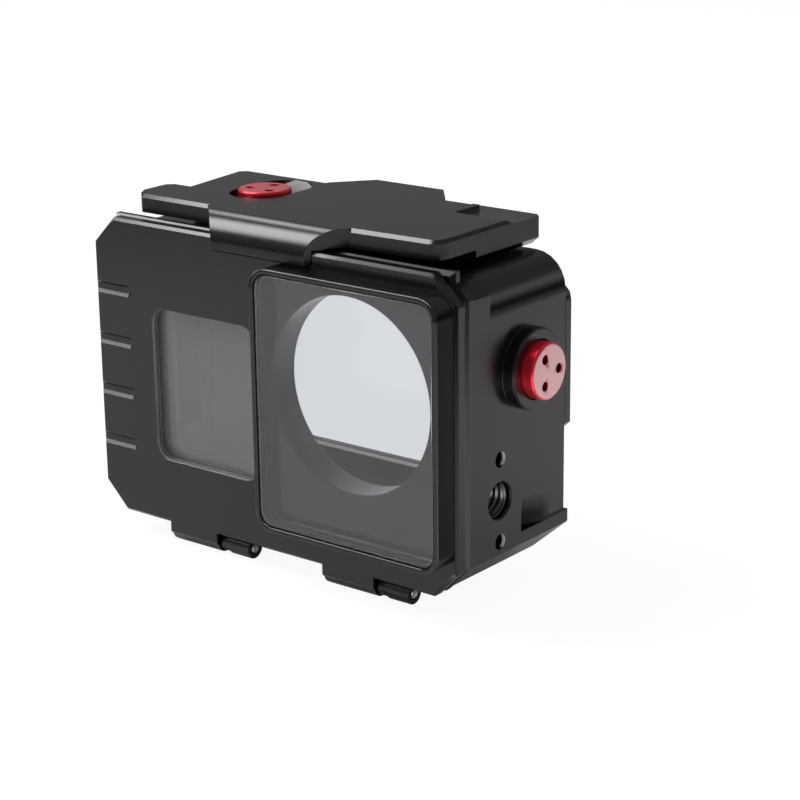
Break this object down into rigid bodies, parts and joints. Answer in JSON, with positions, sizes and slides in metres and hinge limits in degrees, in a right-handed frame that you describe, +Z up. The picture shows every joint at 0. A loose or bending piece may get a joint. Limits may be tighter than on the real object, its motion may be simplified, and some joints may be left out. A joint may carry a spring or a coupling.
{
  "type": "underwater camera housing",
  "caption": "Dark metal underwater housing for an action camera: hinged front door with a square lens port and a small window, latch plate on top, sprung red push buttons.",
  "frame": {"origin": "middle of the bounding box's base, under the hinge knuckles", "axes": "+Z up from the hinges to the latch, +X to the right as seen from the front, -Y out of the lens port"},
  "size_m": [0.0972, 0.0486, 0.0717],
  "materials": {
    "black_anodised": "fine satin, bead blasted and anodised black, lit edges on the bevels",
    "red_anodised": "satin, anodised red, soft pink sheen where it catches the light",
    "steel": "turned and polished, fine tool marks",
    "rubber": "smooth moulded, matt",
    "window_glass": "clear and polished, with a faint coating",
    "polymer": "turned, matt"
  },
  "bodies": {
    "case": {"main_housing": "black_anodised", "main_seal": "rubber", "rear_window_frame": "black_anodised", "rear_window_seal": "rubber", "rear_window_glass": "window_glass", "rear_frame_screw_1": "steel", "rear_frame_screw_2": "steel", "rear_frame_screw_3": "steel", "rear_frame_screw_4": "steel", "rear_frame_screw_5": "steel", "rear_frame_screw_6": "steel", "hinge_pin_left": "steel", "hinge_pin_right": "steel", "latch_pin": "steel", "tripod_insert": "steel", "side_pad": "rubber", "floor_pad_left": "rubber", "floor_pad_right": "rubber", "top_button_bushing": "polymer", "top_button_seal_outer": "rubber", "top_button_seal_inner": "rubber", "top_button_spring": "steel", "side_button_bushing": "polymer", "side_button_seal_outer": "rubber", "side_button_seal_inner": "rubber", "side_button_spring": "steel"},
    "door": {"front_door": "black_anodised", "lens_port_frame": "black_anodised", "lens_port_glass": "window_glass", "lens_port_seal": "rubber", "display_seal": "rubber", "display_glass": "window_glass", "display_retainer": "black_anodised", "retainer_screw_1": "steel", "retainer_screw_2": "steel", "retainer_screw_3": "steel", "retainer_screw_4": "steel"},
    "latch": {"latch_plate": "black_anodised"},
    "top_button": {"top_button_cap": "red_anodised", "top_button_shaft": "steel", "top_button_clip": "steel"},
    "side_button": {"side_button_cap": "red_anodised", "side_button_shaft": "steel", "side_button_clip": "steel"}
  },
  "joints": [
    {"name": "latch_hinge", "type": "hinge", "parent": "case", "child": "latch", "pos_m": [-0.0026, 0.02042, 0.0667], "axis": [-1, 0, 0], "range_deg": [0, 150]},
    {"name": "door_hinge", "type": "hinge", "parent": "case", "child": "door", "pos_m": [-0.0026, -0.01617, 0.00235], "axis": [1, 0, 0], "range_deg": [0, 75]},
    {"name": "top_button_slide", "type": "slide", "parent": "case", "child": "top_button", "axis": [0, 0, -1], "range_m": [0, 0.002], "stiffness_N_per_m": 800, "springref_m": -0.001, "deforming": ["top_button_spring"]},
    {"name": "side_button_slide", "type": "slide", "parent": "case", "child": "side_button", "axis": [-1, 0, 0], "range_m": [0, 0.002], "stiffness_N_per_m": 800, "springref_m": -0.001, "deforming": ["side_button_spring"]}
  ],
  "couplings": [
    {"joint": "door_hinge", "follows": "latch_hinge", "ratio": 0.5}
  ]
}
